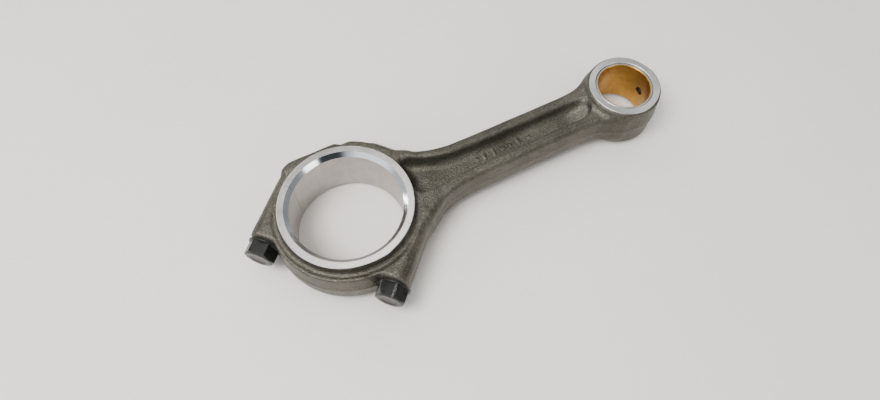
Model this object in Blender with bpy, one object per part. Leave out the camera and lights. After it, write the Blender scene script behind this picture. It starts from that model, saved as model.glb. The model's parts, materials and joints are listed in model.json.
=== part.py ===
"""Connecting rod of a small four-cylinder diesel engine, with an obliquely split big end.

The rod lies flat with both bore axes along Z. It is drawn with the big-end bore axis at x = y = 0
and the small end on +X, and is then moved so that the origin is at the bottom centre of its box.
The big end is split at 45 degrees: `across` runs along the parting plane from bolt to bolt, and
`outward` is the way that the cap leaves the rod.
"""
import math

import bmesh
import bpy
from mathutils import Matrix, Vector

# Driving dimensions, in metres
CENTRE_DISTANCE = 0.175
WIDTH = 0.033                  # across the machined faces of the big end
MIDDLE = WIDTH / 2             # height of the plane that everything is symmetric about
SPLIT_ANGLE = math.radians(45)
GAP = 0.0003                   # left between two pieces that touch

CRANK_BORE_R = 0.030
CRANK_FACE_R = 0.0358          # turned face round the big-end bore
BORE_CHAMFER = 0.0023
SHOULDER_R = 0.0436            # forging round the rod half of the big end
CAP_R = 0.0415                 # outer wall of the cap
LUG_HALF = 0.0442              # parting plane's centre to the flank of a bolt lug
CRANK_FORGING = 0.024          # height of the rough forging at the big end

PIN_END_R = 0.022
PIN_FACE_R = 0.0204
PIN_WIDTH = 0.0286
HOUSING_R = 0.0168
BUSH_R = HOUSING_R - GAP
PIN_BORE_R = 0.015
BUSH_WIDTH = 0.0276
OIL_HOLE_R = 0.002

SHANK_HALF = 0.0134
SHANK_FORGING = 0.020
WEB = 0.006                    # thickness left between the two recesses

BOLT_SPACING = 0.0726
BOLT_R = 0.0045                # M9 x 1.25
BOLT_HOLE_R = BOLT_R + GAP
SPOT_FACE = 0.0285             # parting plane to the seat under a bolt head
SPOT_FACE_R = 0.0094
BOLT_FLANGE_R = 0.0089
BOLT_FLANGE = 0.0020
BOLT_ACROSS_FLATS = 0.015
BOLT_HEAD = 0.0088             # seat to the end of the head
BOLT_REACH = 0.0150            # parting plane to the end of the thread
THREAD_DEPTH = 0.0165

SLEEVE_R = 0.0058
SLEEVE_HALF = 0.0045

ACROSS = Vector((-math.sin(SPLIT_ANGLE), math.cos(SPLIT_ANGLE), 0))
OUTWARD = Vector((-math.cos(SPLIT_ANGLE), -math.sin(SPLIT_ANGLE), 0))
BIG = 0.2                      # longer than anything that a cutter has to reach through
PAST = 0.001                   # how far a cutter runs on beyond the face that it cuts


# Scene and materials

def clear_scene():
    for old in list(bpy.data.objects):
        bpy.data.objects.remove(old, do_unlink=True)


def material(name, colour, roughness, metallic):
    made = bpy.data.materials.new(name)
    made.use_nodes = True
    shader = made.node_tree.nodes["Principled BSDF"]
    shader.inputs["Base Color"].default_value = (*colour, 1)
    shader.inputs["Roughness"].default_value = roughness
    shader.inputs["Metallic"].default_value = metallic
    return made


def place(name, mesh, parent, finish=None):
    made = bpy.data.objects.new(name, mesh)
    bpy.context.scene.collection.objects.link(made)
    made.parent = parent
    if finish:
        mesh.materials.append(finish)
        mesh.shade_smooth()
        mesh.set_sharp_from_angle(angle=math.radians(30))
    return made


def empty(name, parent=None, matrix=None):
    made = bpy.data.objects.new(name, None)
    bpy.context.scene.collection.objects.link(made)
    made.parent = parent
    if matrix is not None:
        made.matrix_local = matrix
    return made


# Outlines

def split_point(across, outward):
    """The point at these two distances from the big end's axis, along and away from the split."""
    spot = ACROSS * across + OUTWARD * outward
    return (spot.x, spot.y)


def arc(radius, start, end, steps):
    angles = [math.radians(start + (end - start) * step / steps) for step in range(steps + 1)]
    return [(radius * math.cos(a), radius * math.sin(a)) for a in angles]


def spline(points, steps):
    """A smooth curve through the points: a Catmull-Rom spline, read at equal steps."""
    ends = [points[0]] + list(points) + [points[-1]]
    curve = []
    for p0, p1, p2, p3 in zip(ends, ends[1:], ends[2:], ends[3:]):
        for step in range(steps):
            t = step / steps
            curve.append(tuple(
                0.5 * (2 * b + (c - a) * t + (2 * a - 5 * b + 4 * c - d) * t * t
                       + (3 * b - a - 3 * c + d) * t ** 3)
                for a, b, c, d in zip(p0, p1, p2, p3)))
    return curve + [points[-1]]


def inset(outline, distance):
    """The outline moved inwards by a distance; it runs anticlockwise."""
    moved = []
    count = len(outline)
    for i, here in enumerate(outline):
        before = Vector(here) - Vector(outline[i - 1])
        after = Vector(outline[(i + 1) % count]) - Vector(here)
        normals = [Vector((-d.y, d.x)).normalized() for d in (before, after)]
        middle = (normals[0] + normals[1]).normalized()
        reach = distance / max(middle.dot(normals[0]), 0.5)
        moved.append((here[0] + middle.x * reach, here[1] + middle.y * reach))
    return moved


# Solids

def stack(name, levels):
    """A closed solid through outlines of equal length: levels are (height, outline)."""
    form = bmesh.new()
    rings = [[form.verts.new((x, y, height)) for x, y in outline] for height, outline in levels]
    for low, high in zip(rings, rings[1:]):
        for i in range(len(low)):
            j = (i + 1) % len(low)
            form.faces.new((low[i], low[j], high[j], high[i]))
    form.faces.new(reversed(rings[0]))
    form.faces.new(rings[-1])
    return finish_mesh(name, form)


def turned(name, profile, segments):
    """A closed solid of revolution about Z from (radius, height) points, going upwards."""
    levels = [(z, arc(r, 0, 360 * (1 - 1 / segments), segments - 1)) for r, z in profile]
    return stack(name, levels)


def finish_mesh(name, form):
    bmesh.ops.recalc_face_normals(form, faces=form.faces)
    mesh = bpy.data.meshes.new(name)
    form.to_mesh(mesh)
    form.free()
    return mesh


def forged(name, outline, height, draft=0.0009, rounding=0.0022):
    """A forging about the middle plane: widest there, drafted, with rounded-off edges."""
    half = height / 2
    steps = [(0, 0), (half - rounding, draft), (half - 0.3 * rounding, draft + 0.3 * rounding),
             (half, draft + rounding)]
    above = [(MIDDLE + rise, inset(outline, back)) for rise, back in steps]
    below = [(MIDDLE - rise, inset(outline, back)) for rise, back in reversed(steps[1:])]
    return stack(name, below + above)


def guide(name, mesh, parent):
    """A hidden tool object for a Boolean."""
    made = place(name, mesh, parent)
    made.hide_render = True
    made.display_type = 'WIRE'
    return made


def boolean(target, tool, operation):
    step = target.modifiers.new(tool.name, 'BOOLEAN')
    step.operation = operation
    step.solver = 'EXACT'
    step.object = tool


def drilled(target, tool):
    boolean(target, tool, 'DIFFERENCE')


def joined(target, tool):
    boolean(target, tool, 'UNION')


# Shared geometry of the big end

def split_frame(across):
    """Local axes on a bolt axis: X from bolt to bolt, Z outwards from the rod."""
    spot = ACROSS * across + Vector((0, 0, MIDDLE))
    rows = Matrix((ACROSS, OUTWARD.cross(ACROSS), OUTWARD)).transposed().to_4x4()
    return Matrix.Translation(spot) @ rows


def face_ring(name):
    """The turned faces of the big end, standing proud of the forging on both sides."""
    edge = 0.0003
    return turned(name, [(CRANK_FACE_R - edge, 0), (CRANK_FACE_R, edge),
                         (CRANK_FACE_R, WIDTH - edge), (CRANK_FACE_R - edge, WIDTH)], 96)


def crank_bore(name):
    mouth = CRANK_BORE_R + BORE_CHAMFER + PAST
    return turned(name, [(mouth, -PAST), (CRANK_BORE_R, BORE_CHAMFER),
                         (CRANK_BORE_R, WIDTH - BORE_CHAMFER), (mouth, WIDTH + PAST)], 96)


def half_space(name, side):
    """A block that fills everything on one side of the split: side is 1 for the cap's."""
    limit = -side * GAP / 2
    far = side * BIG
    outline = [split_point(-BIG, limit), split_point(BIG, limit),
               split_point(BIG, far), split_point(-BIG, far)]
    if side > 0:
        outline.reverse()
    return stack(name, [(-BIG, outline), (BIG, outline)])


def drill(name, radius, start, end, segments=32):
    """A cylinder along a bolt axis, in the bolt's own frame."""
    return turned(name, [(radius, start), (radius, end)], segments)


def oil_drill(name):
    """The oil hole through the end of the small end and the bush, along the shank's line."""
    return drill(name, OIL_HOLE_R, PIN_BORE_R / 2, PIN_END_R + 5 * PAST, 16)


# The rod

def crank_end_outline():
    flat = 0.042               # the far side of the forging is trimmed parallel to the shank
    near_flank = [split_point(-LUG_HALF, 0.003), split_point(-LUG_HALF, -0.0115)]
    towards_shank = [(0.0436, -0.0206), (0.0462, -0.0180)]
    under_shank = arc(0.0485, -18, 18, 6)
    shoulder = arc(SHOULDER_R, 30, 67, 10)
    notch = [(0.0149, 0.0398), (0.0125, 0.0396), (0.0108, flat)]
    far_corner = [(-0.0165, flat), (-0.0192, 0.0414), (-0.0218, 0.0398)]
    far_flank = [split_point(LUG_HALF, -0.008), split_point(LUG_HALF, 0.003)]
    return (near_flank + towards_shank + under_shank + [(0.0440, 0.0200)] + shoulder
            + notch + far_corner + far_flank)


def shank_outline():
    side = [(0.0290, 0.0322), (0.0325, 0.0286), (0.0368, 0.0246), (0.0412, 0.0213),
            (0.0462, 0.0186), (0.0515, 0.0167), (0.0570, 0.0151), (0.0630, 0.0140),
            (0.0720, SHANK_HALF), (0.1050, 0.0132), (0.1350, 0.0132), (0.1440, 0.0135),
            (0.1500, 0.0142), (0.1552, 0.0161), (0.1600, 0.0181), (0.1650, 0.0198)]
    crank_corner = (0.0240, 0.0200)
    pin_corner = (0.1740, 0.0110)
    far = [crank_corner] + spline(side, 2) + [pin_corner]
    near = [(x, -y) for x, y in far if not 0.025 < x < 0.036]
    return near + list(reversed(far))


def recess_outline():
    """The pocket in each face of the I-beam, from the big-end face ring to the small end."""
    near = [(0.0370, -0.0062), (0.0390, -0.0084), (0.0425, -0.0093), (0.0500, -0.0089),
            (0.0570, -0.0081), (0.0640, -0.0073), (0.0800, -0.0069), (0.1200, -0.0065),
            (0.1430, -0.0065), (0.1485, -0.0055), (0.1520, -0.0030), (0.1530, 0.0)]
    far = [(0.1520, 0.0030), (0.1485, 0.0055), (0.1430, 0.0065), (0.1200, 0.0065),
           (0.0800, 0.0068), (0.0645, 0.0074), (0.0585, 0.0085), (0.0530, 0.0101),
           (0.0480, 0.0121), (0.0430, 0.0141), (0.0378, 0.0149)]
    along_ring = arc(0.0375, 15, -4, 3)
    return near + far + along_ring


def recess(name, side):
    """side is 1 for the pocket in the top face and -1 for the one in the bottom face."""
    outline = recess_outline()
    slope = 0.0016             # how far the walls lean out between the web and the flanges' tops
    corner = 0.0012            # the rounded foot of the walls
    above = 0.0085             # the same lean carried on above the flanges
    rises = [(WEB / 2, slope + corner), (WEB / 2 + corner, slope), (SHANK_FORGING / 2, 0.0),
             (SHANK_FORGING / 2 + above, -slope)]
    levels = [(MIDDLE + side * rise, inset(outline, back)) for rise, back in rises]
    if side < 0:
        levels.reverse()
    return stack(name, levels)


def pin_end(name):
    """The small end: a drafted boss with a turned face on each side."""
    top = MIDDLE + PIN_WIDTH / 2
    bottom = MIDDLE - PIN_WIDTH / 2
    edge = 0.0004              # broken edge of the turned face
    skin = PIN_END_R - 0.0007  # drafted to this just under the faces
    step = 0.0022              # height of the bevel from the skin to the face
    return turned(name, [(PIN_FACE_R - edge, bottom), (PIN_FACE_R, bottom + edge),
                         (skin, bottom + step), (PIN_END_R, MIDDLE), (skin, top - step),
                         (PIN_FACE_R, top - edge), (PIN_FACE_R - edge, top)], 72)


def build_rod(root, axes, finish):
    rod = place("rod_body", forged("rod_body", crank_end_outline(), CRANK_FORGING), root, finish)
    pin_axis = empty("pin_axis", root, Matrix.Translation((CENTRE_DISTANCE, 0, 0)))
    joined(rod, guide("shank_form", forged("shank_form", shank_outline(), SHANK_FORGING), root))
    joined(rod, guide("pin_end_form", pin_end("pin_end_form"), pin_axis))
    for side, label in ((1, "top"), (-1, "bottom")):
        drilled(rod, guide(f"recess_{label}", recess(f"recess_{label}", side), root))
    joined(rod, guide("rod_face_ring", face_ring("rod_face_ring"), root))
    drilled(rod, guide("rod_crank_bore", crank_bore("rod_crank_bore"), root))
    drilled(rod, guide("rod_parting", half_space("rod_parting", 1), root))
    housing = turned("pin_housing", [(HOUSING_R, -PAST), (HOUSING_R, WIDTH + PAST)], 72)
    drilled(rod, guide("pin_housing", housing, pin_axis))
    oil = empty("oil_axis", pin_axis, Matrix.Translation((0, 0, MIDDLE))
                @ Matrix.Rotation(math.radians(90), 4, 'Y'))
    drilled(rod, guide("rod_oil_hole", oil_drill("rod_oil_hole"), oil))
    for side, axis in axes.items():
        thread = drill(f"thread_{side}", BOLT_HOLE_R, -THREAD_DEPTH, PAST)
        seat = drill(f"rod_seat_{side}", SLEEVE_R + GAP, -SLEEVE_HALF - GAP, PAST)
        drilled(rod, guide(f"thread_{side}", thread, axis))
        drilled(rod, guide(f"rod_seat_{side}", seat, axis))
    return rod, pin_axis, oil


# The cap

def cap_outline():
    seat_reach = math.sqrt(CAP_R ** 2 - SPOT_FACE ** 2)
    tangent = math.degrees(math.atan2(SPOT_FACE, seat_reach))
    turn = math.degrees(SPLIT_ANGLE) + 90
    wall = arc(CAP_R, turn + tangent, turn + 180 - tangent, 28)
    return ([split_point(LUG_HALF, -0.003), split_point(LUG_HALF, SPOT_FACE)] + wall
            + [split_point(-LUG_HALF, SPOT_FACE), split_point(-LUG_HALF, -0.003)])


def build_cap(root, axes, finish):
    pivot = empty("cap_slide", root, Matrix.Translation((0, 0, MIDDLE)))
    drop = Matrix.Translation((0, 0, -MIDDLE))
    cap_root = empty("cap_frame", pivot, drop)
    form = forged("bearing_cap", cap_outline(), CRANK_FORGING, rounding=0.0016)
    cap = place("bearing_cap", form, cap_root, finish)
    joined(cap, guide("cap_face_ring", face_ring("cap_face_ring"), cap_root))
    drilled(cap, guide("cap_crank_bore", crank_bore("cap_crank_bore"), cap_root))
    drilled(cap, guide("cap_parting", half_space("cap_parting", -1), cap_root))
    for side, axis in axes.items():
        hole = drill(f"cap_hole_{side}", BOLT_HOLE_R, -PAST, BIG)
        seat = drill(f"cap_seat_{side}", SLEEVE_R + GAP, -PAST, SLEEVE_HALF + GAP)
        face = drill(f"spot_face_{side}", SPOT_FACE_R, SPOT_FACE, BIG, 40)
        for tool in (hole, seat, face):
            drilled(cap, guide(tool.name, tool, axis))
    return cap


# Bolts, bush and sleeves

def hexagon(turn):
    radius = BOLT_ACROSS_FLATS / 2 / math.cos(math.radians(30))
    return arc(radius, turn, turn + 300, 5)


def build_bolt(name, axis, turn, finish):
    """A flange-head bolt with its shank and thread in one, along its own Z axis."""
    seat = SPOT_FACE + GAP
    flange = seat + BOLT_FLANGE
    end = SPOT_FACE + BOLT_HEAD
    chamfer = 0.0008           # round the end of the head
    point = 0.0010             # on the end of the thread
    rim = 0.0012               # straight edge of the flange, and the bevel above it
    collar = 0.0060            # the flange rises to this radius inside the hexagon
    body = turned(name, [(BOLT_R - point, -BOLT_REACH), (BOLT_R, -BOLT_REACH + point),
                         (BOLT_R, seat), (BOLT_FLANGE_R, seat), (BOLT_FLANGE_R, seat + rim),
                         (BOLT_FLANGE_R - rim, flange), (collar, flange + 0.0004)], 32)
    bolt = place(name, body, axis, finish)
    shape = hexagon(turn)
    head = stack(f"{name}_hex", [(flange - PAST, shape), (end - chamfer, shape),
                                 (end, inset(shape, chamfer))])
    joined(bolt, guide(f"{name}_hex", head, axis))
    return bolt


def build_bush(pin_axis, oil, finish):
    top = MIDDLE + BUSH_WIDTH / 2
    bottom = MIDDLE - BUSH_WIDTH / 2
    edge = 0.0004
    form = turned("small_end_bush", [(BUSH_R - edge, bottom), (BUSH_R, bottom + edge),
                                     (BUSH_R, top - edge), (BUSH_R - edge, top)], 72)
    bush = place("small_end_bush", form, pin_axis, finish)
    bore = turned("bush_bore", [(PIN_BORE_R, bottom - PAST), (PIN_BORE_R, top + PAST)], 72)
    drilled(bush, guide("bush_bore", bore, pin_axis))
    drilled(bush, guide("bush_oil_hole", oil_drill("bush_oil_hole"), oil))
    return bush


def build_sleeve(name, axis, finish):
    form = drill(name, SLEEVE_R, -SLEEVE_HALF, SLEEVE_HALF)
    sleeve = place(name, form, axis, finish)
    inner = drill(f"{name}_bore", BOLT_R + GAP, -SLEEVE_HALF - PAST, SLEEVE_HALF + PAST)
    drilled(sleeve, guide(f"{name}_bore", inner, axis))
    return sleeve


def centre_on_box(root, nodes):
    """Move everything so that the origin is at the bottom centre of the whole rod's box."""
    bpy.context.view_layer.update()
    shapes = bpy.context.evaluated_depsgraph_get()
    corners = []
    for node in nodes:
        ready = node.evaluated_get(shapes)
        corners += [ready.matrix_world @ vertex.co for vertex in ready.data.vertices]
    low = [min(corner[k] for corner in corners) for k in range(3)]
    high = [max(corner[k] for corner in corners) for k in range(3)]
    root.location = (-(low[0] + high[0]) / 2, -(low[1] + high[1]) / 2, -low[2])


def main():
    clear_scene()
    forging = material("forged_steel", (0.16, 0.15, 0.13), 0.62, 0.75)
    bronze = material("bronze", (0.45, 0.26, 0.08), 0.35, 1.0)
    black = material("black_oxide", (0.012, 0.013, 0.012), 0.32, 0.6)
    bright = material("ground_steel", (0.45, 0.45, 0.45), 0.30, 1.0)

    root = empty("big_end_axis")
    sides = {"far": BOLT_SPACING / 2, "near": -BOLT_SPACING / 2}
    axes = {side: empty(f"bolt_axis_{side}", root, split_frame(across))
            for side, across in sides.items()}
    rod, pin_axis, oil = build_rod(root, axes, forging)
    nodes = [rod, build_cap(root, axes, forging), build_bush(pin_axis, oil, bronze)]
    hex_turns = {"far": -2, "near": 15}    # how each bolt happened to stop, in degrees
    for side, axis in axes.items():
        nodes.append(build_bolt(f"cap_bolt_{side}", axis, hex_turns[side], black))
        nodes.append(build_sleeve(f"dowel_sleeve_{side}", axis, bright))
    centre_on_box(root, nodes)


main()
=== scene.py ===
"""Looks of the connecting rod: shot-blasted forgings, machined faces, black bolts, a bronze bush.

Shapes are drawn in millimetres in the rod's own frame: the big end's axis at x = y = 0, the small end
on +X, and Z across the width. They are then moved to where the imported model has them.
"""
import json
import math

import bpy
import numpy as np
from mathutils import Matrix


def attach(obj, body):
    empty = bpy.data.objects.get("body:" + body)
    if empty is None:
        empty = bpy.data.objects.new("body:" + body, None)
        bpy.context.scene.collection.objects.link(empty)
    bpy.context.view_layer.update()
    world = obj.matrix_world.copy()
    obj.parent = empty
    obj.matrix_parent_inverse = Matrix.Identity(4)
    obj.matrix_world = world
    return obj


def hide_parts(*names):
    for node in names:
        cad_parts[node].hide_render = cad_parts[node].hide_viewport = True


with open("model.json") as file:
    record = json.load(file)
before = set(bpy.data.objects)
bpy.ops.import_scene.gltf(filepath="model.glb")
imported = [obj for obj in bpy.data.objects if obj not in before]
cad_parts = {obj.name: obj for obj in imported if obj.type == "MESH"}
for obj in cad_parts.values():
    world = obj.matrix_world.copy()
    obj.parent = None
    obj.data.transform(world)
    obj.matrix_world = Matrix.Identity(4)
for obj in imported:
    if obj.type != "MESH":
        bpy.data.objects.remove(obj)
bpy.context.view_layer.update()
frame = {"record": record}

import openvdb
from mathutils import Matrix, Vector

MM = 0.001

# Sizes in millimetres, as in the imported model; only the fits between pieces are closer here
WIDTH = 33.0                   # across the two turned faces of the big end
MIDDLE = WIDTH / 2
CENTRES = 175.0                # from the big end's axis to the small end's
BORE_R = 30.0
CHAMFER = 2.3
FACE_R = 35.8                  # turned face round the big end's bore
SHOULDER_R = 43.6              # forging round the rod's half of the big end
CAP_R = 41.5                   # outer wall of the cap
LUG_HALF = 44.2                # from the split's centre to the flank of a bolt lug
FORGING = 24.0                 # height of the raw forging at the big end
SHANK_FORGING = 20.0
WEB = 6.0                      # left between the two recesses
PIN_END_R = 22.0
PIN_FACE_R = 20.4
PIN_WIDTH = 28.6
PIN_LOW = (WIDTH - PIN_WIDTH) / 2
PIN_HIGH = WIDTH - PIN_LOW
HOUSING_R = 16.62
BUSH_R = 16.5
BUSH_BORE_R = 15.0
BUSH_WIDTH = 27.6
BUSH_LOW = (WIDTH - BUSH_WIDTH) / 2
BUSH_HIGH = WIDTH - BUSH_LOW
OIL_R = 2.0

# Sizes along a bolt's axis count from the split, and are positive towards the bolt's head
BOLT_HALF = 36.3               # from the split's centre to a bolt's axis
SEAT = 28.5                    # spot face under a bolt's head
SPOT_R = 9.4
SPOT_STOCK = 0.7               # raw forging that the spot face takes off
BOLT_R = 4.5
PITCH = 1.25
BOLT_END = -15.0
HOLE_END = -16.5
HEAD_END = 37.3
ACROSS_FLATS = 15.0
FLANGE_R = 8.9
SLEEVE_R = 5.8
SLEEVE_HALF = 4.5
SLEEVE_BORE_R = 4.75
SLEEVE_SEAT_R = SLEEVE_R + 0.12
SLEEVE_ROOM = 0.3              # left past each end of a sleeve
CLEARANCE_R = 4.7              # bolt hole through the cap
THREAD_ROOT_R = 3.75
THREAD_CREST_R = 4.45
HOLE_CREST_R = 3.95            # the tapped hole's own thread stands a little clear of the bolt's
HOLE_ROOT_R = 4.62
PARTING_GAP = 0.08             # left open on each side of the split, so that it shows as a line

# How the forgings are drawn
VOXEL = 0.6
FAR_AWAY = 9.0                 # a distance that stands for nowhere near the surface
DRAFT = 0.07                   # slope of the forged walls, as a tangent
LUG_ROUNDING = 8.5
WAVES = 7                      # plane waves that make the uneven surface
PAST_ALL = 200.0               # longer than anything that a cutter has to reach through

# Facets round a full turn
FACE_FACETS = 256
PIN_FACETS = 192
HEAD_FACETS = 96
HOLE_FACETS = 64
THREAD_FACETS = 48

joints = {joint["name"]: joint for joint in frame["record"]["behaviour"]["joints"]}
FAR_AXIS = Vector(joints["bolt_far_turn"]["pos_m"])
NEAR_AXIS = Vector(joints["bolt_near_turn"]["pos_m"])
OUTWARD = Vector(joints["cap_lift"]["axis"]).normalized()
ACROSS = (FAR_AXIS - NEAR_AXIS).normalized()
ORIGIN = (FAR_AXIS + NEAR_AXIS) / 2
ORIGIN.z = 0.0


# Materials

class Nodes:
    """A short way to write a material's nodes."""

    def __init__(self, name):
        self.material = bpy.data.materials.new(name)
        self.material.use_nodes = True
        self.tree = self.material.node_tree
        self.shader = self.tree.nodes["Principled BSDF"]
        self.spot = self.tree.nodes.new("ShaderNodeTexCoord").outputs["Object"]

    def link(self, source, target):
        if isinstance(source, bpy.types.NodeSocket):
            self.tree.links.new(source, target)
        else:
            target.default_value = source

    def set(self, **values):
        for name, value in values.items():
            self.shader.inputs[name.replace("_", " ")].default_value = value

    def math(self, operation, a, b=0.0):
        node = self.tree.nodes.new("ShaderNodeMath")
        node.operation = operation
        self.link(a, node.inputs[0])
        self.link(b, node.inputs[1])
        return node.outputs[0]

    def scaled(self, value, factor, offset):
        """value * factor + offset"""
        result = self.math("MULTIPLY_ADD", value, factor)
        result.node.inputs[2].default_value = offset
        return result

    def blend(self, a, share_a, b, share_b):
        return self.math("ADD", self.math("MULTIPLY", a, share_a),
                         self.math("MULTIPLY", b, share_b))

    def vector(self, operation, a, b=(0, 0, 0)):
        node = self.tree.nodes.new("ShaderNodeVectorMath")
        node.operation = operation
        self.link(a, node.inputs[0])
        self.link(b, node.inputs[1])
        return node.outputs["Value" if operation in ("LENGTH", "DOT_PRODUCT") else "Vector"]

    def noise(self, size_mm, detail=2.0, roughness=0.5, spot=None):
        node = self.tree.nodes.new("ShaderNodeTexNoise")
        node.inputs["Scale"].default_value = 1 / (size_mm * MM)
        node.inputs["Detail"].default_value = detail
        node.inputs["Roughness"].default_value = roughness
        self.link(self.spot if spot is None else spot, node.inputs["Vector"])
        return node.outputs["Fac"]

    def pits(self, size_mm):
        node = self.tree.nodes.new("ShaderNodeTexVoronoi")
        node.feature = 'SMOOTH_F1'
        node.inputs["Scale"].default_value = 1 / (size_mm * MM)
        self.link(self.spot, node.inputs["Vector"])
        return node.outputs["Distance"]

    def ramp(self, factor, *stops):
        node = self.tree.nodes.new("ShaderNodeValToRGB")
        ramp = node.color_ramp
        while len(ramp.elements) < len(stops):
            ramp.elements.new(0.5)
        for element, (place, colour) in zip(ramp.elements, stops):
            element.position = place
            element.color = (*colour, 1)
        self.link(factor, node.inputs["Fac"])
        return node.outputs["Color"]

    def mix(self, factor, tone, colour):
        """Blend a colour over a tone."""
        node = self.tree.nodes.new("ShaderNodeMix")
        node.data_type = 'RGBA'
        self.link(factor, node.inputs["Factor"])
        self.link(tone, node.inputs["A"])
        self.link((*colour, 1), node.inputs["B"])
        return node.outputs["Result"]

    def between(self, value, low, high):
        """0 below low, 1 above high and smooth between."""
        node = self.tree.nodes.new("ShaderNodeMapRange")
        node.interpolation_type = 'SMOOTHSTEP'
        self.link(value, node.inputs["Value"])
        node.inputs["From Min"].default_value = low
        node.inputs["From Max"].default_value = high
        return node.outputs["Result"]

    def stretched(self, scale):
        return self.vector("MULTIPLY", self.spot, scale)

    def bump(self, height, strength, distance_mm):
        node = self.tree.nodes.new("ShaderNodeBump")
        node.inputs["Strength"].default_value = strength
        node.inputs["Distance"].default_value = distance_mm * MM
        self.link(height, node.inputs["Height"])
        self.link(node.outputs["Normal"], self.shader.inputs["Normal"])

    def finish(self, colour, roughness):
        self.link(colour, self.shader.inputs["Base Color"])
        self.link(roughness, self.shader.inputs["Roughness"])
        return self.material


def forged_skin():
    """Shot-blasted steel: fine dimples, mottled scale, pale rubbed ridges and a trimmed flash line."""
    n = Nodes("forged_skin")
    dimples = n.pits(0.75)
    grain = n.noise(0.5, 3)
    lumps = n.noise(4.0, 2)
    patches = n.noise(22.0, 3, 0.6)
    tone = n.ramp(patches, (0.30, (0.060, 0.055, 0.043)), (0.52, (0.084, 0.078, 0.062)),
                  (0.74, (0.112, 0.105, 0.086)))
    speckle = n.scaled(n.noise(1.1, 2, 0.7), 1.7, 0.15)
    tone = n.vector("SCALE", tone)
    n.link(speckle, tone.node.inputs["Scale"])
    position = n.tree.nodes.new("ShaderNodeSeparateXYZ")
    n.link(n.spot, position.inputs[0])
    off_middle = n.math("ABSOLUTE", n.math("SUBTRACT", position.outputs["Z"], MIDDLE * MM))

    # Ridges near the shank's top and bottom, rubbed bright in streaks along it
    streaks = n.noise(1.6, 4, 0.75, n.stretched((0.22, 1.5, 1.5)))
    ridge = n.between(off_middle, 9.3 * MM, 10.1 * MM)
    rubbed = n.math("MULTIPLY", ridge, n.between(streaks, 0.55, 0.70))
    tone = n.mix(n.math("MULTIPLY", rubbed, 0.45), tone, (0.22, 0.21, 0.19))

    # The trimmed flash: a dark broken line half way up
    line = n.math("SUBTRACT", 1.0, n.between(off_middle, 0.25 * MM, 0.75 * MM))
    line = n.math("MULTIPLY", line, n.between(n.noise(9.0, 2), 0.36, 0.55))
    tone = n.mix(n.math("MULTIPLY", line, 0.45), tone, (0.060, 0.042, 0.034))

    rough = n.scaled(lumps, 0.20, 0.36)
    relief = n.math("ADD", n.blend(dimples, 0.55, grain, 0.35), n.math("MULTIPLY", lumps, 0.7))
    n.bump(relief, 0.9, 0.45)
    n.set(Metallic=0.75)
    return n.finish(tone, rough)


def turned_metal(name, centre_x, colour, roughness, marks, anisotropy):
    """A face cut on a lathe or boring bar: rings about the axis at centre_x, in millimetres.

    marks is how strongly the tool's rings stand out.
    """
    n = Nodes(name)
    centre = ORIGIN + Vector((centre_x * MM, 0, 0))
    away = n.vector("MULTIPLY", n.vector("SUBTRACT", n.spot, tuple(centre)), (1, 1, 0))
    radius = n.vector("LENGTH", away)
    rings = n.tree.nodes.new("ShaderNodeCombineXYZ")
    n.link(radius, rings.inputs["X"])
    fine = n.noise(0.22, 2, 0.6, rings.outputs[0])
    broad = n.noise(1.1, 2, 0.6, rings.outputs[0])
    mixed = n.blend(fine, 0.5, broad, 0.5)
    clouds = n.noise(9.0, 3, 0.6)
    shade = n.blend(mixed, 0.5, clouds, 0.5)
    dark = tuple(0.84 * c for c in colour)
    light = tuple(min(1.08 * c, 1.0) for c in colour)
    tone = n.ramp(shade, (0.36, dark), (0.64, light))
    rough = n.scaled(clouds, 0.14, roughness - 0.07)
    n.bump(mixed, marks, 0.03)
    n.set(Metallic=1.0, Anisotropic=anisotropy)
    n.link(n.vector("CROSS_PRODUCT", away, (0, 0, 1)), n.shader.inputs["Tangent"])
    return n.finish(tone, rough)


def bored_metal(name, colour, roughness, marks, patches=0.0, patch_colour=(0.2, 0.1, 0.03)):
    """The wall of a bored hole: fine rings along Z, faint clouds and, if asked for, stains."""
    n = Nodes(name)
    feed = n.noise(0.3, 2, 0.6, n.stretched((0.02, 0.02, 1.0)))
    clouds = n.noise(7.0, 3, 0.6, n.stretched((1.0, 1.0, 0.6)))
    shade = n.blend(feed, 0.35, clouds, 0.65)
    dark = tuple(0.82 * c for c in colour)
    light = tuple(min(1.1 * c, 1.0) for c in colour)
    tone = n.ramp(shade, (0.35, dark), (0.65, light))
    if patches:
        stain = n.between(n.noise(5.0, 4, 0.65), 0.50, 0.66)
        tone = n.mix(n.math("MULTIPLY", stain, patches), tone, patch_colour)
    rough = n.scaled(clouds, 0.16, roughness - 0.08)
    n.bump(feed, marks, 0.03)
    n.set(Metallic=1.0)
    return n.finish(tone, rough)


def milled_steel(name, colour, roughness):
    """Steel from a cutter or a drill, with faint strokes up the part."""
    n = Nodes(name)
    strokes = n.noise(0.5, 3, 0.6, n.stretched((1.0, 1.0, 0.08)))
    clouds = n.noise(5.0, 3)
    shade = n.blend(strokes, 0.5, clouds, 0.5)
    tone = n.ramp(shade, (0.35, tuple(0.8 * c for c in colour)), (0.65, colour))
    rough = n.scaled(clouds, 0.2, roughness - 0.1)
    n.bump(strokes, 0.25, 0.05)
    n.set(Metallic=1.0)
    return n.finish(tone, rough)


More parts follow.
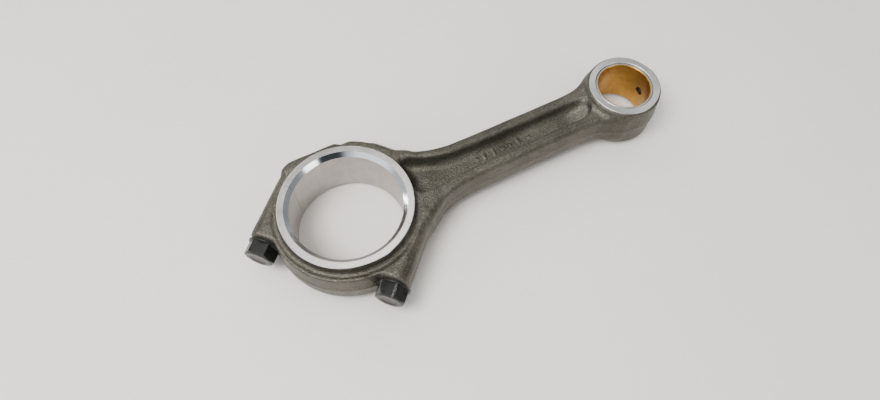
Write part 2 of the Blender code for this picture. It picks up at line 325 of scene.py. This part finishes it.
def black_oxide():
    """Blackened steel with an oily, slightly mottled gloss and bare metal on rubbed edges."""
    n = Nodes("black_oxide")
    clouds = n.noise(2.6, 4, 0.65)
    specks = n.noise(0.5, 3, 0.6)
    tone = n.ramp(clouds, (0.35, (0.004, 0.005, 0.004)), (0.62, (0.010, 0.011, 0.010)))
    edge = n.tree.nodes.new("ShaderNodeNewGeometry").outputs["Pointiness"]
    bare = n.math("MULTIPLY", n.between(edge, 0.53, 0.60), n.between(specks, 0.40, 0.60))
    tone = n.mix(n.math("MULTIPLY", bare, 0.6), tone, (0.22, 0.22, 0.21))
    rough = n.scaled(clouds, 0.30, 0.17)
    n.bump(n.math("ADD", n.math("MULTIPLY", specks, 0.4), clouds), 0.35, 0.12)
    n.set(Metallic=0.0, Specular_IOR_Level=0.3)
    return n.finish(tone, rough)


def paper():
    """The plain sheet under the part."""
    n = Nodes("floor_paper")
    fibre = n.noise(0.9, 4, 0.7)
    clouds = n.noise(120.0, 2)
    tone = n.ramp(clouds, (0.3, (0.790, 0.755, 0.715)), (0.7, (0.815, 0.780, 0.74)))
    n.bump(fibre, 0.08, 0.1)
    return n.finish(tone, 0.55)


SKIN = forged_skin()
CRANK_TURNED = turned_metal("turned_crank_face", 0.0, (0.70, 0.685, 0.655), 0.22, 0.5, 0.3)
PIN_TURNED = turned_metal("turned_pin_face", CENTRES, (0.60, 0.60, 0.595), 0.40, 0.30, 0.45)
CHAMFERED = turned_metal("turned_chamfer", 0.0, (0.74, 0.76, 0.78), 0.10, 0.2, 0.1)
BORED = bored_metal("bored_crank", (0.42, 0.395, 0.385), 0.36, 0.3)
PIN_BORED = bored_metal("bored_pin", (0.45, 0.45, 0.45), 0.38, 0.3)
MILLED = milled_steel("milled_steel", (0.50, 0.49, 0.47), 0.38)
SEATED = milled_steel("spot_faced_steel", (0.52, 0.50, 0.47), 0.42)
TAPPED = milled_steel("tapped_hole", (0.30, 0.29, 0.28), 0.45)
BLACK = black_oxide()
BRONZE = bored_metal("bush_bronze", (0.50, 0.29, 0.07), 0.33, 0.4, 0.35, (0.30, 0.15, 0.035))
# Near-black brown for the walls of the bush's oil way: painted shade for the dark inside of the hole
OIL_WAY_PAINTED_SHADE = milled_steel("oil_hole_painted_shade", (0.09, 0.065, 0.04), 0.5)
BUSH_STEEL = bored_metal("bush_backing", (0.62, 0.61, 0.58), 0.32, 0.2)
SLEEVE_STEEL = bored_metal("sleeve_ground", (0.55, 0.55, 0.55), 0.27, 0.2)


# Meshes

def linked(name, data):
    """A new object in the scene with this mesh, lamp or camera."""
    made = bpy.data.objects.new(name, data)
    bpy.context.scene.collection.objects.link(made)
    return made


def settle(name, verts, faces, materials, indices=None):
    """A mesh from its vertices and faces; indices says which material each face has."""
    mesh = bpy.data.meshes.new(name)
    mesh.from_pydata([tuple(v) for v in verts], [], faces)
    for finish in materials:
        mesh.materials.append(finish)
    if indices is not None:
        mesh.polygons.foreach_set("material_index", np.asarray(indices, dtype=np.int32))
    mesh.update()
    return mesh


def bolt_frame(across):
    """Maps a bolt's own millimetres, Z outwards, into the rod's frame."""
    spot = ACROSS * across + Vector((0, 0, MIDDLE))
    rows = Matrix((ACROSS, OUTWARD.cross(ACROSS), OUTWARD)).transposed().to_4x4()
    return Matrix.Translation(spot) @ rows


def turned(name, profile, segments, finishes, centre=Matrix.Identity(4), helix=None):
    """A closed solid of revolution about Z.

    profile has (radius, height) points going upwards, and finishes one material for each step
    between them, then one for the bottom and one for the top. helix can move each radius.
    """
    angles = [2 * math.pi * i / segments for i in range(segments)]
    verts = []
    for radius, height in profile:
        for angle in angles:
            r = radius + (helix(angle, height) if helix else 0.0)
            verts.append(centre @ Vector((r * math.cos(angle), r * math.sin(angle), height)))
    used = list(dict.fromkeys(finishes))
    faces = []
    indices = []
    for row in range(len(profile) - 1):
        for i in range(segments):
            j = (i + 1) % segments
            faces.append((row * segments + i, row * segments + j,
                          (row + 1) * segments + j, (row + 1) * segments + i))
            indices.append(used.index(finishes[row]))
    faces.append(tuple(reversed(range(segments))))
    faces.append(tuple(range(len(verts) - segments, len(verts))))
    indices += [used.index(finishes[-2]), used.index(finishes[-1])]
    return settle(name, verts, faces, used, indices)


def prism(name, outline, low, high, finish, centre=Matrix.Identity(4)):
    """A block over an outline that runs anticlockwise."""
    count = len(outline)
    verts = [centre @ Vector((x, y, z)) for z in (low, high) for x, y in outline]
    faces = [(i, (i + 1) % count, count + (i + 1) % count, count + i) for i in range(count)]
    faces += [tuple(reversed(range(count))), tuple(range(count, 2 * count))]
    return settle(name, verts, faces, [finish])


def carve(base, steps):
    """Apply (operation, mesh) steps to a mesh, and keep each tool's materials on its faces.

    The exact solver takes longer than the others, and always finishes on meshes as fine as these.
    """
    body = linked("carving", base)
    tools = []
    for operation, mesh in steps:
        tool = linked("tool", mesh)
        tools.append(tool)
        cut = body.modifiers.new("cut", 'BOOLEAN')
        cut.operation = operation
        cut.solver = 'EXACT'
        cut.material_mode = 'TRANSFER'
        cut.object = tool
    bpy.context.view_layer.update()
    ready = body.evaluated_get(bpy.context.evaluated_depsgraph_get())
    result = bpy.data.meshes.new_from_object(ready)
    for extra in [body] + tools:
        bpy.data.objects.remove(extra, do_unlink=True)
    return result


def piece(name, mesh, body, nodes, smooth_angle=30):
    """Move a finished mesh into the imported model's frame, and hand it over."""
    mesh.transform(Matrix.Translation(ORIGIN) @ Matrix.Scale(MM, 4))
    mesh.shade_smooth()
    mesh.set_sharp_from_angle(angle=math.radians(smooth_angle))
    made = linked(name, mesh)
    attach(made, body)
    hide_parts(*nodes)


# Distance fields for the forgings: negative inside, in millimetres

class Field:
    """A grid over a box, for shapes given as distances.

    off is the height from the middle plane, t runs along the split, and s away from it, positive
    on the cap's side.
    """

    def __init__(self, low, high):
        self.low = np.array(low, dtype=np.float32)
        counts = [int(math.ceil((b - a) / VOXEL)) + 1 for a, b in zip(low, high)]
        steps = [np.arange(count, dtype=np.float32) * VOXEL + a for count, a in zip(counts, low)]
        self.x = steps[0][:, None, None]
        self.y = steps[1][None, :, None]
        self.off = np.abs(steps[2] - MIDDLE)[None, None, :]
        self.z = steps[2][None, None, :]
        self.t = self.x * ACROSS.x + self.y * ACROSS.y
        self.s = self.x * OUTWARD.x + self.y * OUTWARD.y

    def polygon(self, outline, softening):
        """Distance to an outline in plan, with its corners softened."""
        x, y = np.broadcast_arrays(self.x[:, :, 0], self.y[:, :, 0])
        nearest = np.full(x.shape, 1e9, dtype=np.float32)
        inside = np.zeros(x.shape, dtype=bool)
        for (ax, ay), (bx, by) in zip(outline, outline[1:] + outline[:1]):
            ex, ey = bx - ax, by - ay
            along = np.clip(((x - ax) * ex + (y - ay) * ey) / (ex * ex + ey * ey), 0, 1)
            gap = (x - ax - along * ex) ** 2 + (y - ay - along * ey) ** 2
            nearest = np.minimum(nearest, gap)
            if ay != by:
                crosses = (ay > y) != (by > y)
                inside ^= crosses & (x < ax + (y - ay) * ex / ey)
        distance = np.sqrt(nearest)
        distance[inside] *= -1
        return blurred(distance, softening)[:, :, None]

    def mesh(self, name, distance, finish):
        """The surface where the distance is zero."""
        grid = openvdb.FloatGrid(FAR_AWAY)
        grid.copyFromArray(np.ascontiguousarray(distance, dtype=np.float32))
        points, _, quads = grid.convertToPolygons(isovalue=0.0, adaptivity=0.0)
        points = points * VOXEL + self.low
        quads = quads[:, ::-1]
        mesh = bpy.data.meshes.new(name)
        mesh.vertices.add(len(points))
        mesh.vertices.foreach_set("co", points.astype(np.float32).ravel())
        mesh.loops.add(quads.size)
        mesh.loops.foreach_set("vertex_index", quads.astype(np.int32).ravel())
        mesh.polygons.add(len(quads))
        mesh.polygons.foreach_set("loop_start", np.arange(len(quads), dtype=np.int32) * 4)
        mesh.materials.append(finish)
        mesh.update(calc_edges=True)
        mesh.validate()
        return mesh


def blurred(values, size_mm):
    """A Gaussian blur in plan."""
    reach = int(math.ceil(2.5 * size_mm / VOXEL))
    weights = [math.exp(-0.5 * (k * VOXEL / size_mm) ** 2) for k in range(-reach, reach + 1)]
    total = sum(weights)
    for axis in (0, 1):
        padded = np.pad(values, [(reach, reach) if a == axis else (0, 0) for a in (0, 1)],
                        mode='edge')
        length = values.shape[axis]
        values = sum(weight / total * np.take(padded, range(k, k + length), axis=axis)
                     for k, weight in enumerate(weights))
    return values.astype(np.float32)


def smooth_min(a, b, size):
    """The smaller of two distances, with a fillet of about this size where they meet."""
    near = np.maximum(size - np.abs(a - b), 0) / size
    return np.minimum(a, b) - near * near * size / 4


def smooth_max(a, b, size):
    return -smooth_min(-a, -b, size)


def smooth_step(value, low, high):
    share = np.clip((value - low) / (high - low), 0, 1)
    return share * share * (3 - 2 * share)


def slab(field, plan, half, rounding, draft, flash=0.3):
    """A drafted forging about the middle plane, with rounded edges and a trimmed flash.

    plan is the distance to its outline, half its half height, and flash how far the line stands out.
    """
    wall = plan + draft * field.off - flash * np.exp(-(field.off / 0.9) ** 2)
    across = wall + rounding
    above = field.off - half + rounding
    outside = np.hypot(np.maximum(across, 0), np.maximum(above, 0))
    return np.minimum(np.maximum(across, above), 0) + outside - rounding


def lug_rounding(field, half_width, half_height, rounding):
    """Rounds the bolt lugs about their own length, and lets go on the way to the shank."""
    release = 1.6 * np.maximum(-9.0 - field.s, 0)
    across = np.abs(field.t) - release - half_width + rounding
    above = field.off - half_height + rounding
    outside = np.hypot(np.maximum(across, 0), np.maximum(above, 0))
    return np.minimum(np.maximum(across, above), 0) + outside - rounding


def ring_groove(field):
    """The shallow hollow that the dies leave in the forging just outside the turned ring."""
    radius = 1.6
    fading = radius * smooth_step(-field.s, 6.0, 24.0)
    across = np.hypot(field.x, field.y) - FACE_R - 2.3
    return np.hypot(across, field.off - FORGING / 2 - 0.5 - fading) - radius


def ripple(field, size_mm, amount, seed):
    """Gentle unevenness of a hammered surface, from a few plane waves."""
    rng = np.random.default_rng(seed)
    total = 0.0
    for _ in range(WAVES):
        way = rng.normal(size=3)
        way /= np.linalg.norm(way)
        k = 2 * math.pi / (size_mm * rng.uniform(0.7, 1.4))
        phase = rng.uniform(0, 2 * math.pi)
        total = total + np.sin(k * (way[0] * field.x + way[1] * field.y + way[2] * field.z) + phase)
    return amount * total / WAVES


# Outlines in plan, in millimetres

def split_point(across, outward):
    """A point given along the split and out from it."""
    spot = ACROSS * across + OUTWARD * outward
    return (spot.x, spot.y)


def arc(radius, start, end, steps):
    """Points on a circle about the big end's axis, between two angles in degrees."""
    angles = [math.radians(start + (end - start) * step / steps) for step in range(steps + 1)]
    return [(radius * math.cos(a), radius * math.sin(a)) for a in angles]


def spline(points, steps):
    """A Catmull-Rom spline through the points."""
    ends = [points[0]] + list(points) + [points[-1]]
    curve = []
    for p0, p1, p2, p3 in zip(ends, ends[1:], ends[2:], ends[3:]):
        for step in range(steps):
            u = step / steps
            curve.append(tuple(
                0.5 * (2 * b + (c - a) * u + (2 * a - 5 * b + 4 * c - d) * u * u
                       + (3 * b - a - 3 * c + d) * u ** 3)
                for a, b, c, d in zip(p0, p1, p2, p3)))
    return curve + [points[-1]]


def crank_end_outline():
    """The rod's half of the big end: lug, shoulders, a flat with a notch beside it, and lug."""
    flat = 42.0
    near = [split_point(-LUG_HALF, 3.0), split_point(-LUG_HALF, -11.5), (43.6, -20.6), (46.2, -18.0)]
    notch = [(14.9, 39.8), (12.5, 39.6), (10.8, flat)]
    far = [(-16.5, flat), (-19.2, 41.4), (-21.8, 39.8)]
    flank = [split_point(LUG_HALF, -8.0), split_point(LUG_HALF, 3.0)]
    return (near + arc(48.5, -18, 18, 6) + [(44.0, 20.0)] + arc(SHOULDER_R, 30, 67, 14)
            + notch + far + flank)


def shank_outline():
    """The shank, flaring to the big end and a little to the small end."""
    side = [(29, 32.2), (32.5, 28.6), (36.8, 24.6), (41.2, 21.3), (46.2, 18.6), (51.5, 16.7),
            (57, 15.1), (63, 14), (72, 13.4), (105, 13.2), (135, 13.2), (144, 13.5), (150, 14.2),
            (155.2, 16.1), (160, 18.1), (165, 19.8)]
    far = [(24.0, 20.0)] + spline(side, 6) + [(174.0, 11.0)]
    near = [(x, -y) for x, y in far if not 25 < x < 36]
    return near + list(reversed(far))


def recess_outline():
    """The hollow of the I-beam, wider at the big end, where it follows the ring."""
    near = [(37.0, -6.2), (39.0, -8.4), (42.5, -9.3), (50, -8.9), (57, -8.1), (64, -7.3), (80, -6.9),
            (120, -6.5), (143, -6.5), (148.5, -5.5), (152, -3), (153, 0)]
    far = [(152, 3), (148.5, 5.5), (143, 6.5), (120, 6.5), (80, 6.8), (64.5, 7.4), (58.5, 8.5),
           (53, 10.1), (48, 12.1), (43, 14.1), (37.8, 14.9)]
    return near + far + arc(37.5, 15, -4, 3)


def cap_outline():
    """The cap with its two lugs, drawn to the raw forging over the bolts' seats."""
    seat = SEAT + SPOT_STOCK
    reach = math.sqrt(CAP_R ** 2 - seat ** 2)
    tangent = math.degrees(math.atan2(seat, reach))
    wall = arc(CAP_R, 135 + tangent, 315 - tangent, 40)
    return ([split_point(LUG_HALF, -3.0), split_point(LUG_HALF, seat)] + wall
            + [split_point(-LUG_HALF, seat), split_point(-LUG_HALF, -3.0)])


def web_marks(field):
    """Plain raised bars and pips on the web, as dies leave: they spell nothing."""
    bar = 2.6
    half_stroke = 0.75
    raised = 0.45
    total = np.float32(FAR_AWAY)
    for x, length in ((78, 0), (83, bar), (89, bar), (95, 0), (100, 0), (105, bar), (112, 0)):
        along = np.maximum(np.abs(field.y + 0.1 * (x - 95) / 17) - length / 2, 0)
        flat = np.hypot(field.x - x, along) - half_stroke
        total = np.minimum(total, flat)
    return np.maximum(total, field.off - WEB / 2 - raised)


# The two forgings

def face_boss(field):
    """The raw boss under the turned ring of the big end."""
    plan = np.hypot(field.x, field.y) - FACE_R - 0.8
    return slab(field, plan, MIDDLE - 0.5, 0.5, 0.05, 0.0)


def rod_forging():
    """The I-beam forging, with the small end and the rod's half of the big end."""
    field = Field((-46, -60, 1), (202, 48, 32))

    # The big end, which comes down to the shank's height towards it
    step = (FORGING - SHANK_FORGING) / 2
    half = FORGING / 2 - step * smooth_step(field.x, 24.0, 44.0) * smooth_step(-field.s, 3.0, 16.0)
    crank = slab(field, field.polygon(crank_end_outline(), 1.2), half, 2.6, DRAFT)
    crank = smooth_max(crank, lug_rounding(field, LUG_HALF, FORGING / 2, LUG_ROUNDING), 1.5)
    shank = slab(field, field.polygon(shank_outline(), 1.0), SHANK_FORGING / 2, 2.4, DRAFT, 0.12)
    body = smooth_min(crank, shank, 5.0)

    # The recesses: their floor rises at both ends, and their far wall leans back more
    rise = 4.5 * np.clip((field.x - 136.0) / 16.0, 0, 1) ** 2
    rise = rise + 2.0 * np.clip((44.0 - field.x) / 8.0, 0, 1) ** 2
    far_side = smooth_step(field.y, -2.0, 3.0)
    lean = 0.10 + 0.22 * far_side
    walls = field.polygon(recess_outline(), 0.7) + lean * (SHANK_FORGING / 2 - field.off)
    hollow = smooth_max(walls, WEB / 2 + rise - field.off, 1.4 + 2.6 * far_side)
    body = smooth_max(body, -hollow, 0.9 + 1.0 * far_side)
    body = smooth_min(body, web_marks(field), 0.5)

    # The small end, and the raw metal round the ring
    pin_plan = np.hypot(field.x - CENTRES, field.y) - PIN_END_R
    pin = slab(field, pin_plan, PIN_WIDTH / 2 - 0.4, 1.0, 0.05, 0.1)
    body = smooth_min(body, pin, 5.0)
    body = smooth_min(body, face_boss(field), 1.8)
    body = smooth_max(body, -ring_groove(field), 1.2)
    body = body + ripple(field, 14.0, 0.16, 5)
    return field.mesh("rod_forging", body, SKIN)


def cap_forging():
    field = Field((-66, -66, 1), (48, 48, 32))
    cap = slab(field, field.polygon(cap_outline(), 1.0), FORGING / 2, 1.9, DRAFT)
    cap = smooth_max(cap, lug_rounding(field, LUG_HALF, FORGING / 2, LUG_ROUNDING), 1.5)
    body = smooth_min(cap, face_boss(field), 1.8)
    body = smooth_max(body, -ring_groove(field), 1.2)
    body = body + ripple(field, 14.0, 0.16, 5)
    return field.mesh("cap_forging", body, SKIN)


def ring_faces():
    """The drum whose two ends are the turned faces of the big end."""
    edge = 0.3
    profile = [(FACE_R - edge, 0), (FACE_R, edge), (FACE_R, WIDTH - edge), (FACE_R - edge, WIDTH)]
    finishes = [CHAMFERED, SKIN, CHAMFERED, CRANK_TURNED, CRANK_TURNED]
    return turned("ring_faces", profile, FACE_FACETS, finishes)


def crank_bore():
    """The cutter for the big end's bore and its two chamfers."""
    mouth = BORE_R + CHAMFER
    profile = [(mouth + 1, -1), (BORE_R, CHAMFER), (BORE_R, WIDTH - CHAMFER), (mouth + 1, WIDTH + 1)]
    finishes = [CHAMFERED, BORED, CHAMFERED, BORED, BORED]
    return turned("crank_bore", profile, FACE_FACETS, finishes)


def beyond_split(side):
    """Everything on one side of the parting plane: side is 1 for the cap's."""
    limit = -side * PARTING_GAP
    outline = [split_point(-PAST_ALL, limit), split_point(PAST_ALL, limit),
               split_point(PAST_ALL, side * PAST_ALL), split_point(-PAST_ALL, side * PAST_ALL)]
    if side < 0:
        outline.reverse()
    return prism("beyond_split", outline, -50, 80, MILLED)


def thread_shape(crest, root):
    """The height of a right-hand thread over its root, at an angle and a distance along.

    The ramp is cut off above and below, which leaves flats on the crests and roots.
    """
    def height(angle, along):
        phase = (along / PITCH - angle / (2 * math.pi)) % 1.0
        ramp = 1 - abs(2 * phase - 1)
        return (crest - root) * min(max(ramp * 1.35 - 0.12, 0.0), 1.0)
    return height


def threaded(name, root, crest, low, high, finish, centre, lead_in):
    """A threaded rod, whose thread fades over lead_in at both ends."""
    rows = int(math.ceil((high - low) / (PITCH / 8)))
    shape = thread_shape(crest, root)
    heights = [low + (high - low) * row / rows for row in range(rows + 1)]

    def helix(angle, along):
        fade = min((along - low) / lead_in, (high - along) / lead_in, 1.0)
        return shape(angle, along) * max(fade, 0.0)

    profile = [(root, z) for z in heights]
    return turned(name, profile, THREAD_FACETS, [finish] * (rows + 2), centre, helix)


def bolt_cuts(side):
    """The tapped hole in the rod and the seat of the dowel sleeve."""
    centre = bolt_frame(side * BOLT_HALF)
    tapped = threaded("tapped", HOLE_CREST_R, HOLE_ROOT_R, HOLE_END, 1.0, TAPPED, centre, 1.0)
    profile = [(SLEEVE_SEAT_R, -SLEEVE_HALF - SLEEVE_ROOM), (SLEEVE_SEAT_R, -0.4),
               (SLEEVE_SEAT_R + 0.9, 0.5)]
    seat = turned("seat", profile, HOLE_FACETS, [MILLED] * 4, centre)
    return [('DIFFERENCE', tapped), ('DIFFERENCE', seat)]


def pin_frame():
    """The small end's frame, with its axis as Z."""
    return Matrix.Translation((CENTRES, 0, 0))


def oil_frame():
    """The oil way's frame: Z runs from the small end's axis towards the rod's tip."""
    return pin_frame() @ Matrix.Translation((0, 0, MIDDLE)) @ Matrix.Rotation(math.pi / 2, 4, 'Y')


def build_rod():
    pin = pin_frame()
    edge = 0.4
    profile = [(PIN_FACE_R - edge, PIN_LOW), (PIN_FACE_R, PIN_LOW + edge),
               (PIN_FACE_R, PIN_HIGH - edge), (PIN_FACE_R - edge, PIN_HIGH)]
    finishes = [PIN_TURNED, SKIN, PIN_TURNED, PIN_TURNED, PIN_TURNED]
    faces = turned("pin_faces", profile, PIN_FACETS, finishes, pin)

    lip = 0.35
    profile = [(HOUSING_R + lip + 1, PIN_LOW - 1), (HOUSING_R, PIN_LOW + lip),
               (HOUSING_R, PIN_HIGH - lip), (HOUSING_R + lip + 1, PIN_HIGH + 1)]
    finishes = [PIN_TURNED, PIN_BORED, PIN_TURNED, PIN_BORED, PIN_BORED]
    housing = turned("housing", profile, PIN_FACETS, finishes, pin)

    profile = [(OIL_R, 10), (OIL_R, PIN_END_R - 1.2), (OIL_R + 2.4, PIN_END_R + 1.2)]
    oil = turned("oil", profile, THREAD_FACETS, [TAPPED] * 4, oil_frame())

    steps = [('UNION', ring_faces()), ('UNION', faces), ('DIFFERENCE', crank_bore()),
             ('DIFFERENCE', beyond_split(1)), ('DIFFERENCE', housing), ('DIFFERENCE', oil)]
    for side in (1, -1):
        steps += bolt_cuts(side)
    piece("rod_forged_body", carve(rod_forging(), steps), "rod", ["rod_body"])


def build_cap():
    steps = [('UNION', ring_faces()), ('DIFFERENCE', crank_bore()), ('DIFFERENCE', beyond_split(-1))]
    for side in (1, -1):
        centre = bolt_frame(side * BOLT_HALF)
        profile = [(CLEARANCE_R, -1), (CLEARANCE_R, SEAT - 0.3), (CLEARANCE_R + 0.7, SEAT + 0.4)]
        hole = turned("hole", profile, HOLE_FACETS, [TAPPED] * 4, centre)
        profile = [(SLEEVE_SEAT_R + 0.9, -0.5), (SLEEVE_SEAT_R, 0.4),
                   (SLEEVE_SEAT_R, SLEEVE_HALF + SLEEVE_ROOM)]
        seat = turned("seat", profile, HOLE_FACETS, [MILLED] * 4, centre)
        profile = [(SPOT_R, SEAT), (SPOT_R, 60)]
        spot = turned("spot", profile, HEAD_FACETS, [SEATED] * 3, centre)
        steps += [('DIFFERENCE', tool) for tool in (hole, seat, spot)]
    piece("bearing_cap_forged", carve(cap_forging(), steps), "cap", ["bearing_cap"])


# Bolts, bush and sleeves

def hexagon(turn):
    """A hexagon across the flats, turned by degrees, with its corners slightly rounded."""
    corner = 0.35
    radius = ACROSS_FLATS / 2 / math.cos(math.radians(30))
    outline = []
    for k in range(6):
        for part in (-1, 0, 1):
            angle = math.radians(turn + 60 * k) + part * corner / radius
            reach = radius - (0.16 if part else 0.10)
            outline.append((reach * math.cos(angle), reach * math.sin(angle)))
    return outline


def build_bolt(name, side, turn, node, body):
    """A flange-head bolt, waisted between its head and its thread."""
    centre = bolt_frame(side * BOLT_HALF)
    seat = SEAT + 0.05
    top = seat + 2.0
    waist_r = 4.0

    def round_tool(label, profile, facets):
        return turned(label, profile, facets, [BLACK] * (len(profile) + 1), centre)

    hexed = prism("hex", hexagon(turn), top - 1, HEAD_END + 1, BLACK, centre)
    crown = round_tool("crown", [(10, top - 2), (10, HEAD_END - 1.65), (7.15, HEAD_END - 0.12),
                                 (6.85, HEAD_END)], HEAD_FACETS)
    dish = round_tool("dish", [(3.6, HEAD_END - 0.45), (4.2, HEAD_END - 0.35),
                               (5.3, HEAD_END + 0.1), (5.4, HEAD_END + 1)], HEAD_FACETS)
    flange = round_tool("flange", [(waist_r, seat - 4), (waist_r, seat - 0.4), (BOLT_R, seat),
                                   (8.4, seat), (8.8, seat + 0.12), (FLANGE_R, seat + 0.4),
                                   (FLANGE_R, seat + 0.9), (8.7, seat + 1.25), (8.2, seat + 1.5),
                                   (7.2, top), (7.0, top + 0.5)], HEAD_FACETS)
    shank = round_tool("shank", [(waist_r, 1.0), (waist_r, seat - 3)], THREAD_FACETS)
    thread = threaded("thread", THREAD_ROOT_R, THREAD_CREST_R, BOLT_END, 3.0, BLACK, centre, 1.4)
    head = carve(hexed, [('INTERSECT', crown), ('DIFFERENCE', dish), ('UNION', flange),
                         ('UNION', shank), ('UNION', thread)])
    piece(name, head, body, [node], 28)


def build_bush():
    """A steel bush with a bronze lining that is a hair shorter."""
    centre = pin_frame()
    lined_r = BUSH_BORE_R + 0.55
    edge = 0.35

    def round_tool(label, profile, finish):
        return turned(label, profile, PIN_FACETS, [finish] * (len(profile) + 1), centre)

    shell = round_tool("shell", [(BUSH_R - edge, BUSH_LOW), (BUSH_R, BUSH_LOW + edge),
                                 (BUSH_R, BUSH_HIGH - edge), (BUSH_R - edge, BUSH_HIGH)],
                       BUSH_STEEL)
    room = round_tool("room", [(lined_r, BUSH_LOW - 1), (lined_r, BUSH_HIGH + 1)], BRONZE)
    lining = round_tool("lining", [(lined_r, BUSH_LOW + 0.02), (lined_r, BUSH_HIGH - 0.02)], BRONZE)
    mouth = BUSH_BORE_R + edge
    bore = round_tool("bore", [(mouth + 1, BUSH_LOW - 1), (BUSH_BORE_R, BUSH_LOW + edge),
                               (BUSH_BORE_R, BUSH_HIGH - edge), (mouth + 1, BUSH_HIGH + 1)], BRONZE)
    profile = [(OIL_R + 1.6, BUSH_BORE_R - 1.2), (OIL_R, BUSH_BORE_R + 0.4), (OIL_R, 25)]
    # The oil way through the bush takes the near-black painted shade
    oil = turned("oil", profile, THREAD_FACETS, [OIL_WAY_PAINTED_SHADE] * 4, oil_frame())
    mesh = carve(shell, [('DIFFERENCE', room), ('UNION', lining), ('DIFFERENCE', bore),
                         ('DIFFERENCE', oil)])
    piece("small_end_bush_lined", mesh, "rod", ["small_end_bush"])


def build_sleeve(name, side, node):
    """A hollow dowel round a bolt, half in the rod and half in the cap."""
    centre = bolt_frame(side * BOLT_HALF)
    half = SLEEVE_HALF
    profile = [(SLEEVE_R - 0.35, -half), (SLEEVE_R, -half + 0.5), (SLEEVE_R, half - 0.5),
               (SLEEVE_R - 0.35, half)]
    outer = turned("outer", profile, HOLE_FACETS, [SLEEVE_STEEL] * 5, centre)
    profile = [(SLEEVE_BORE_R + 1.15, -half - 1), (SLEEVE_BORE_R, -half + 0.15),
               (SLEEVE_BORE_R, half - 0.15), (SLEEVE_BORE_R + 1.15, half + 1)]
    inner = turned("inner", profile, HOLE_FACETS, [SLEEVE_STEEL] * 5, centre)
    piece(name, carve(outer, [('DIFFERENCE', inner)]), "rod", [node])


build_rod()
build_cap()
build_bolt("bolt_far_flanged", 1, -2, "cap_bolt_far", "bolt_far")
build_bolt("bolt_near_flanged", -1, 15, "cap_bolt_near", "bolt_near")
build_bush()
build_sleeve("sleeve_far_ground", 1, "dowel_sleeve_far")
build_sleeve("sleeve_near_ground", -1, "dowel_sleeve_near")


# Floor, light and camera

FLOOR_HALF = 3.0               # these three are in metres
FLOOR_LOW = -0.02
FLOOR_TOP = -0.0002
corners = [(-FLOOR_HALF, -FLOOR_HALF), (FLOOR_HALF, -FLOOR_HALF), (FLOOR_HALF, FLOOR_HALF),
           (-FLOOR_HALF, FLOOR_HALF)]
floor = linked("floor", prism("floor", corners, FLOOR_LOW, FLOOR_TOP, paper()))


def area_light(name, spot, size, power, colour):
    """A rectangular lamp that faces the part; spot and size in metres, power in watts."""
    lamp = bpy.data.lights.new(name, 'AREA')
    lamp.shape = 'RECTANGLE'
    lamp.size, lamp.size_y = size
    lamp.energy = power
    lamp.color = colour
    made = linked(name, lamp)
    made.location = spot
    made.rotation_euler = (-Vector(spot)).to_track_quat('-Z', 'Y').to_euler()


area_light("key_light", (-0.55, -0.08, 1.05), (0.55, 0.45), 17.0, (1.0, 0.975, 0.94))
area_light("back_light", (-0.35, 1.1, 0.8), (1.0, 0.5), 3.0, (0.95, 0.97, 1.0))

world = bpy.data.worlds.new("studio")
bpy.context.scene.world = world
world.use_nodes = True
sky = world.node_tree
background = sky.nodes["Background"]
background.inputs["Strength"].default_value = 1.15


def studio_wall(colour_so_far, towards, inner, outer, colour):
    """Tint the surroundings around one direction.

    inner and outer are cosines of the angle from it: the tint is full within inner and gone at outer.
    """
    way = sky.nodes.new("ShaderNodeTexCoord")
    dot = sky.nodes.new("ShaderNodeVectorMath")
    dot.operation = 'DOT_PRODUCT'
    dot.inputs[1].default_value = Vector(towards).normalized()
    sky.links.new(way.outputs["Generated"], dot.inputs[0])
    share = sky.nodes.new("ShaderNodeMapRange")
    share.interpolation_type = 'SMOOTHSTEP'
    share.inputs["From Min"].default_value = outer
    share.inputs["From Max"].default_value = inner
    sky.links.new(dot.outputs["Value"], share.inputs["Value"])
    mix = sky.nodes.new("ShaderNodeMix")
    mix.data_type = 'RGBA'
    sky.links.new(share.outputs["Result"], mix.inputs["Factor"])
    if isinstance(colour_so_far, tuple):
        mix.inputs["A"].default_value = (*colour_so_far, 1)
    else:
        sky.links.new(colour_so_far, mix.inputs["A"])
    mix.inputs["B"].default_value = (*colour, 1)
    return mix.outputs["Result"]


surroundings = (0.62, 0.625, 0.635)
for towards, inner, outer, colour in (
        ((0.93, -0.10, 0.30), 0.90, 0.60, (0.28, 0.29, 0.30)),       # the dim side of the room
        ((-0.85, -0.30, 0.42), 0.96, 0.82, (1.30, 1.36, 1.44)),      # a window on the left
        ((0.12, 0.12, 0.98), 0.975, 0.915, (2.60, 2.54, 2.40)),      # a panel overhead
        ((-0.10, -0.83, 0.54), 0.985, 0.92, (0.05, 0.055, 0.06)),    # a dark screen in front
        ((0.38, -0.77, 0.51), 0.996, 0.975, (4.0, 4.0, 4.0))):       # a small lamp beside it
    surroundings = studio_wall(surroundings, towards, inner, outer, colour)
sky.links.new(surroundings, background.inputs["Color"])

# The camera stands in millimetres from the big end's axis, and its three axes are unit vectors
CAMERA_SPOT = Vector((-25.54, -154.42, 321.65))
CAMERA_RIGHT = Vector((0.89107, -0.45383, 0.00508))
CAMERA_UP = Vector((0.39962, 0.78984, 0.46524))
CAMERA_BACK = Vector((-0.21515, -0.41254, 0.88517))
camera_data = bpy.data.cameras.new("camera")
camera_data.sensor_fit = 'HORIZONTAL'
camera_data.sensor_width = 36.0
camera_data.lens = 25.68
camera_data.clip_start = 0.01
camera = linked("camera", camera_data)
facing = Matrix((CAMERA_RIGHT, CAMERA_UP, CAMERA_BACK)).transposed().to_4x4()
camera.matrix_world = Matrix.Translation(ORIGIN + CAMERA_SPOT * MM) @ facing
bpy.context.scene.camera = camera
